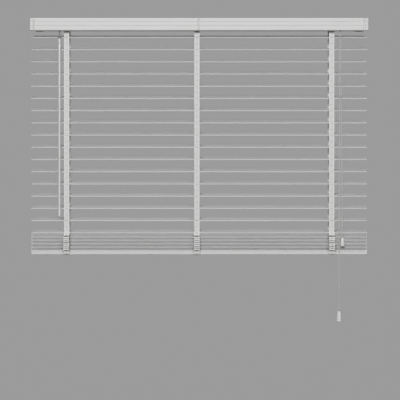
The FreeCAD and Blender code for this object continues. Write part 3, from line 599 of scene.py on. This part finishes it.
def make_folds(materials):
    """The slack tape beside the stack, looped out between its slats and strapped round the rail."""
    rng = random.Random(11)
    near = 26.4 * MM  # where the loops leave the stack
    for label, side in (("front", -1), ("back", 1)):
        for place, x in zip(("left", "centre", "right"), TAPE_X):
            height = STACK_TOP + 3.0 * MM
            line = [(near, height), (near + 0.4 * MM, height - 0.4 * MM)]
            levels, shifts = [], []
            for tall, gap, reach in LOOPS:
                tall, gap, reach = tall * MM, gap * MM, reach * MM
                start = (near, height - 0.5 * MM + rng.uniform(-0.35, 0.35) * MM)
                line += teardrop(start, reach - rng.uniform(0, 1.1) * MM, tall)
                levels.append(height - tall / 2)
                shifts.append(rng.uniform(-0.75, 0.75) * MM)
                height -= tall + gap
            line += [
                (near + 0.2 * MM, height + 1.8 * MM),
                (near + 0.8 * MM, height + 0.6 * MM),
                (near + 5.4 * MM, height - 1.6 * MM),
                (near + 6.2 * MM, height - 5.0 * MM),
                (near + 3.4 * MM, RAIL_BOTTOM + 1.6 * MM),
                (25.2 * MM, RAIL_BOTTOM - 0.4 * MM),
                (22.6 * MM, RAIL_BOTTOM - 0.65 * MM),
                (12.2 * MM, RAIL_BOTTOM - 0.6 * MM),
            ]
            line = [(side * y, z) for y, z in smooth_line(line)]
            points, faces, uvs = ribbon(x, line, width=TAPE_WIDTH + 1.4 * MM)
            points = [(px + sideways(pz, levels, shifts), py, pz) for px, py, pz in points]
            fold = piece_from(f"{label}_folds_{place}", points, faces, uvs)
            replaced = ["stack_tape_folds"] if (label, place) == ("front", "left") else []
            finish_piece(fold, materials, "tape_fabric", "bottom_rail", replaced)


# ---------------------------------------------------------------- cords

# The pull cords' routes, point for point as in the CAD.
PULL_CORDS = {
    "pull_cord_a": [
        (0.5086, -0.0286, -0.038),
        (0.5090, -0.0288, -0.100),
        (0.5108, -0.0304, -0.320),
        (0.5132, -0.0326, -0.560),
        (0.5148, -0.0344, -0.791),
    ],
    "pull_cord_b": [
        (0.5052, -0.0286, -0.038),
        (0.5050, -0.0287, -0.120),
        (0.5041, -0.0295, -0.420),
        (0.5035, -0.0304, -0.740),
        (0.5032, -0.0310, -1.055),
    ],
}
PULL_CORD_DIAMETER = 0.0016


def along_route(route, resolution=60):
    """Points along the smooth curve whose control points are the route's."""
    data = bpy.data.curves.new("route", "CURVE")
    data.dimensions = "3D"
    spline = data.splines.new("NURBS")
    spline.points.add(len(route) - 1)
    for place, control in zip(route, spline.points):
        control.co = (*place, 1)
    spline.order_u = 3
    spline.use_endpoint_u = True
    spline.resolution_u = resolution
    curve = bpy.data.objects.new("route", data)
    bpy.context.scene.collection.objects.link(curve)
    bpy.context.view_layer.update()
    mesh = bpy.data.meshes.new_from_object(curve)
    points = [vertex.co.copy() for vertex in mesh.vertices]
    bpy.data.objects.remove(curve)
    bpy.data.meshes.remove(mesh)
    return points


def make_pull_cords(materials):
    """Each hangs from the lock's nose to its tassel; on the blind the cords pay out as the tassels
    come down.
    """
    for name, route in PULL_CORDS.items():
        line = along_route(route)
        cord = piece_from(f"{name}_braid", *tube(line, PULL_CORD_DIAMETER / 2, 12))
        finish_piece(cord, materials, "cord_fabric", None, [name])
        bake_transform(cord)


def make_lift_cords(materials):
    """Three tight cords through the slats, and their run along the headrail to the lock."""
    low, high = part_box("lift_cords")
    run_z = high.z - LIFT_CORD_RADIUS
    top = run_z - LIFT_CORD_BEND
    steps = round((top - low.z) / 0.02)
    quarter = [math.radians(15 * k) for k in range(7)]
    falls, runs = [], []
    for place, x in enumerate(TAPE_X):
        y = (place - 1) * 4 * MM
        fall_line = [(x, y, top + (low.z - top) * k / steps) for k in range(steps + 1)]
        falls.append(tube(fall_line, LIFT_CORD_RADIUS))
        bend = [
            (x + LIFT_CORD_BEND * (1 - math.cos(a)), y, top + LIFT_CORD_BEND * math.sin(a))
            for a in quarter
        ]
        runs.append(tube(bend + [(high.x, y, run_z)], LIFT_CORD_RADIUS))
    fall = piece_from("lift_cord_falls", *merged(falls))
    finish_piece(fall, materials, "cord_fabric", "headrail", ["lift_cords"])
    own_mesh(fall)
    run = piece_from("lift_cord_runs", *merged(runs))
    finish_piece(run, materials, "cord_fabric", "headrail")


# ---------------------------------------------------------------- wand and tassels

def make_tassel(materials, name, cord, height, top_radius, radius):
    """A turned tassel: domed top round the cord, flared skirt with a bead, hollow below."""
    top = Vector(PULL_CORDS[cord][-1])
    rim = radius - 0.5 * MM
    waist, skirt, foot = -5.8 * MM, -height + 6.2 * MM, -height
    outline = [
        (0.9 * MM, 0.0), (top_radius * 0.45, 0.0), (top_radius * 0.72, -0.5 * MM),
        (top_radius * 0.88, -1.5 * MM), (top_radius * 0.96, -3.0 * MM),
        (top_radius, -4.6 * MM), (top_radius * 0.97, -5.2 * MM), (top_radius, waist),
    ]
    for share in [k / 6 for k in range(1, 7)]:
        flare = top_radius + (rim - top_radius) * share ** 0.85
        outline.append((flare, waist + (skirt - waist) * share))
    outline += [
        (radius - 0.75 * MM, skirt - 0.5 * MM), (radius - 0.3 * MM, skirt - 1.0 * MM),
        (radius, skirt - 2.2 * MM), (radius, foot + 2.2 * MM),
        (radius - 0.3 * MM, foot + 0.9 * MM), (radius - 1.2 * MM, foot),
        (radius - 2.4 * MM, foot), (radius - 3.0 * MM, foot + 1.2 * MM),
        (radius * 0.45, foot + 9 * MM), (1.0 * MM, foot + 10 * MM),
    ]
    tassel = piece_from(f"{name}_turned", *lathe(outline, top))
    finish_piece(tassel, materials, "wand_finish", "tassels", [name], sharp=50)
    knot_line = []
    for turn in [k * math.pi / 10 for k in range(31)]:
        rise = foot + (7.0 + 0.35 * turn) * MM
        coil = Vector((2.1 * MM * math.cos(turn), 1.5 * MM * math.sin(turn), rise))
        knot_line.append(top + coil)
    knot = piece_from(f"{name}_knot", *tube(knot_line, 0.8 * MM))
    finish_piece(knot, materials, "cord_fabric", "tassels")
    return [tassel, knot]


def make_wand(materials):
    """A slim turned wand with a capped top and a flared tip."""
    low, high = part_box("wand")
    centre = Vector(((low.x + high.x) / 2, (low.y + high.y) / 2, high.z))
    length = high.z - low.z
    cap, shaft, steps = 4.25 * MM, 3.75 * MM, 24
    neck, tip = -22 * MM, -length
    straight = length - 70 * MM
    outline = [
        (0.4 * MM, 0), (1.9 * MM, 0), (2.7 * MM, -0.4 * MM), (3.6 * MM, -1.4 * MM),
        (4.15 * MM, -2.6 * MM), (cap, -4 * MM), (cap, -18.6 * MM),
        (4.1 * MM, -19.6 * MM), (shaft - 0.25 * MM, -20.3 * MM), (shaft - 0.25 * MM, -21.3 * MM),
        (shaft, neck),
    ]
    outline += [(shaft, neck - straight * k / steps) for k in range(1, steps + 1)]
    outline += [
        (shaft + 0.25 * MM, tip + 34 * MM), (shaft + 0.7 * MM, tip + 20 * MM),
        (shaft + 0.9 * MM, tip + 12 * MM), (shaft + 0.9 * MM, tip + 8 * MM),
        (shaft + 0.6 * MM, tip + 7.4 * MM), (shaft + 0.6 * MM, tip + 6.6 * MM),
        (shaft + 0.9 * MM, tip + 6 * MM), (shaft + 0.7 * MM, tip + 2.6 * MM),
        (shaft - 0.4 * MM, tip + 0.8 * MM), (shaft - 1.6 * MM, tip), (0.4 * MM, tip),
    ]
    wand = piece_from("wand_turned", *lathe(outline, centre))
    finish_piece(wand, materials, "wand_finish", "wand", ["wand"], sharp=50)


# ---------------------------------------------------------------- stage and light

def make_floor():
    """A plain pale floor at a room's depth below the blind, which fades out at its rim."""
    drop, radius, sides = -2.05, 2.3, 96
    turns = [2 * math.pi * k / sides for k in range(sides)]
    points = [(radius * math.cos(turn), radius * math.sin(turn), drop) for turn in turns]
    floor = piece_from("floor", points, [tuple(range(sides))])
    m = Material("floor_paint")
    cloud = m.noise(m.place((1.6, 1.6, 1.6)), 1, 4)
    colour = m.tint(m.span(cloud, 0.3, 0.7, 0, 1), (0.60, 0.60, 0.595), (0.63, 0.63, 0.625))
    flat = m.place((1 / radius, 1 / radius, 0))
    fade = m.node("TexGradient", {"Vector": flat}, output="Fac", gradient_type="SPHERICAL")
    m.set(Base_Color=colour, Roughness=0.85, Specular_IOR_Level=0.2)
    m.set(Alpha=m.span(fade, 0.0, 0.3, 0, 1))
    floor.data.materials.append(m.material)


def make_world():
    """Plain grey surroundings, seen brighter than the light that they give."""
    seen, given = 0.33, 0.07
    world = bpy.data.worlds.new("world")
    world.use_nodes = True
    tree = world.node_tree
    path = tree.nodes.new("ShaderNodeLightPath")
    strength = tree.nodes.new("ShaderNodeMapRange")
    strength.inputs["To Min"].default_value = given
    strength.inputs["To Max"].default_value = seen
    tree.links.new(path.outputs["Is Camera Ray"], strength.inputs["Value"])
    background = tree.nodes["Background"]
    background.inputs["Color"].default_value = (1, 1, 1, 1)
    tree.links.new(strength.outputs["Result"], background.inputs["Strength"])
    bpy.context.scene.world = world
    bpy.context.scene.view_settings.view_transform = "Standard"


def add_light(name, place, size, power, glints=True):
    """A soft box aimed at the blind's middle; the camera never sees the box itself."""
    data = bpy.data.lights.new(name, "AREA")
    data.shape = "RECTANGLE"
    data.size, data.size_y = size
    data.energy = power
    light = bpy.data.objects.new(name, data)
    light.location = place
    aim = Vector((0, 0, -0.5)) - Vector(place)
    light.rotation_euler = aim.to_track_quat("-Z", "Y").to_euler()
    light.visible_camera = False
    light.visible_glossy = glints
    bpy.context.scene.collection.objects.link(light)


def make_light():
    add_light("key", (-1.2, -6.6, 2.7), (3.4, 2.2), 275)
    add_light("fill", (3.0, -6.6, 2.0), (3.0, 2.2), 115)
    add_light("back", (-3.8, 5.2, 0.4), (2.4, 2.0), 150, glints=False)
    add_light("sky", (0.6, -1.2, 5.2), (3.0, 3.0), 60, glints=False)


# ---------------------------------------------------------------- build

make_camera()
materials = make_materials()
dress_cad_nodes(materials)
tassels = {
    "pull_cord_a": make_tassel(materials, "tassel_a", "pull_cord_a", 30 * MM, 5.6 * MM, 8 * MM),
    "pull_cord_b": make_tassel(materials, "tassel_b", "pull_cord_b", 37 * MM, 7 * MM, 10 * MM),
}
make_pull_cords(materials)
make_lift_cords(materials)
make_tapes(materials)
make_rungs(materials)
make_folds(materials)
make_wand(materials)
make_floor()
make_world()
make_light()
